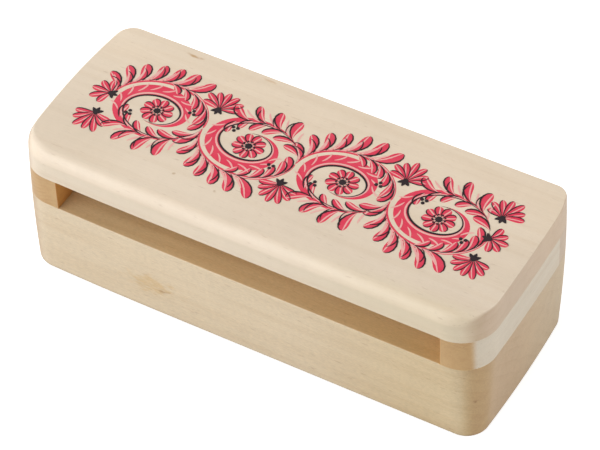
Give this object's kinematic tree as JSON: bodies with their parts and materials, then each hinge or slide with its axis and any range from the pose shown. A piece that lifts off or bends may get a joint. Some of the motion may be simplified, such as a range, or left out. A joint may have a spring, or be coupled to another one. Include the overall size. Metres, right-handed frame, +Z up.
{
  "type": "woodblock",
  "caption": "Wooden slit block for percussion: a thick base and a struck top plate, held apart by strips at the ends and back, with a long resonance slot open at the front.",
  "frame": {"origin": "middle of the underside, on the surface that the block stands on", "axes": "+X along the length, to the right as seen from the slotted front; +Y from the slotted front to the closed back; +Z up, out of the struck plate"},
  "size_m": [0.17, 0.0669, 0.0545],
  "materials": {
    "base_wood": "satin lacquer over pale long grain",
    "spacer_wood": "satin lacquer over end grain",
    "rail_wood": "satin lacquer over pale long grain",
    "plate_wood": "satin lacquer over pale long grain"
  },
  "bodies": {
    "root": {"base_block": "base_wood", "left_spacer": "spacer_wood", "right_spacer": "spacer_wood", "back_rail": "rail_wood", "top_plate": "plate_wood"}
  },
  "joints": []
}
